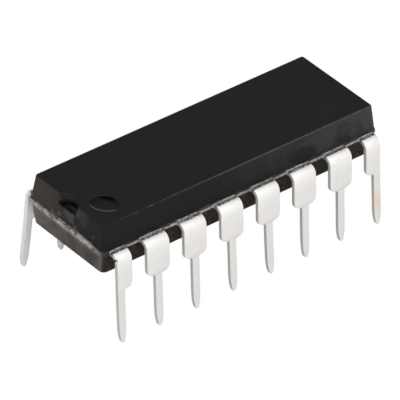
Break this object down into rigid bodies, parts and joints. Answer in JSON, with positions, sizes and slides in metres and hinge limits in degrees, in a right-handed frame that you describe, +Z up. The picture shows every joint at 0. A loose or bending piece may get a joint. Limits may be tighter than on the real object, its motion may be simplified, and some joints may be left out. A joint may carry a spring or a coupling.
{
  "type": "dual in-line integrated circuit chip",
  "caption": "Black moulded resin body with an end notch and a pin-one dimple, and two rows of bent, plated metal leads that plug into a circuit board or socket.",
  "frame": {"origin": "centre of the part's footprint at the height of the lead tips", "axes": "+X along the body away from the notched end, -Y towards the row of leads 1 to 8, +Z up through the top face"},
  "size_m": [0.019, 0.0086, 0.007],
  "materials": {
    "moulding_compound": "fine matte moulded epoxy, a little glossier on the top face, grey resin flash at the parting plane",
    "tinned_lead": "satin tin plating with fine press marks",
    "bare_lead_frame": "rolled copper alloy, satin",
    "die_attach": "cured silver-filled adhesive, matte",
    "silicon": "polished silicon",
    "gold_wire": "bright drawn gold"
  },
  "bodies": {
    "root": {"package_body": "moulding_compound", "lead_01": "tinned_lead", "lead_02": "tinned_lead", "lead_03": "tinned_lead", "lead_04": "tinned_lead", "lead_05": "tinned_lead", "lead_06": "tinned_lead", "lead_07": "tinned_lead", "lead_08": "tinned_lead", "lead_09": "tinned_lead", "lead_10": "tinned_lead", "lead_11": "tinned_lead", "lead_12": "tinned_lead", "lead_13": "tinned_lead", "lead_14": "tinned_lead", "lead_15": "tinned_lead", "lead_16": "tinned_lead", "die_pad": "bare_lead_frame", "die_attach": "die_attach", "silicon_die": "silicon", "bond_wire_01": "gold_wire", "bond_wire_02": "gold_wire", "bond_wire_03": "gold_wire", "bond_wire_04": "gold_wire", "bond_wire_05": "gold_wire", "bond_wire_06": "gold_wire", "bond_wire_07": "gold_wire", "bond_wire_08": "gold_wire", "bond_wire_09": "gold_wire", "bond_wire_10": "gold_wire", "bond_wire_11": "gold_wire", "bond_wire_12": "gold_wire", "bond_wire_13": "gold_wire", "bond_wire_14": "gold_wire", "bond_wire_15": "gold_wire", "bond_wire_16": "gold_wire"}
  },
  "joints": []
}
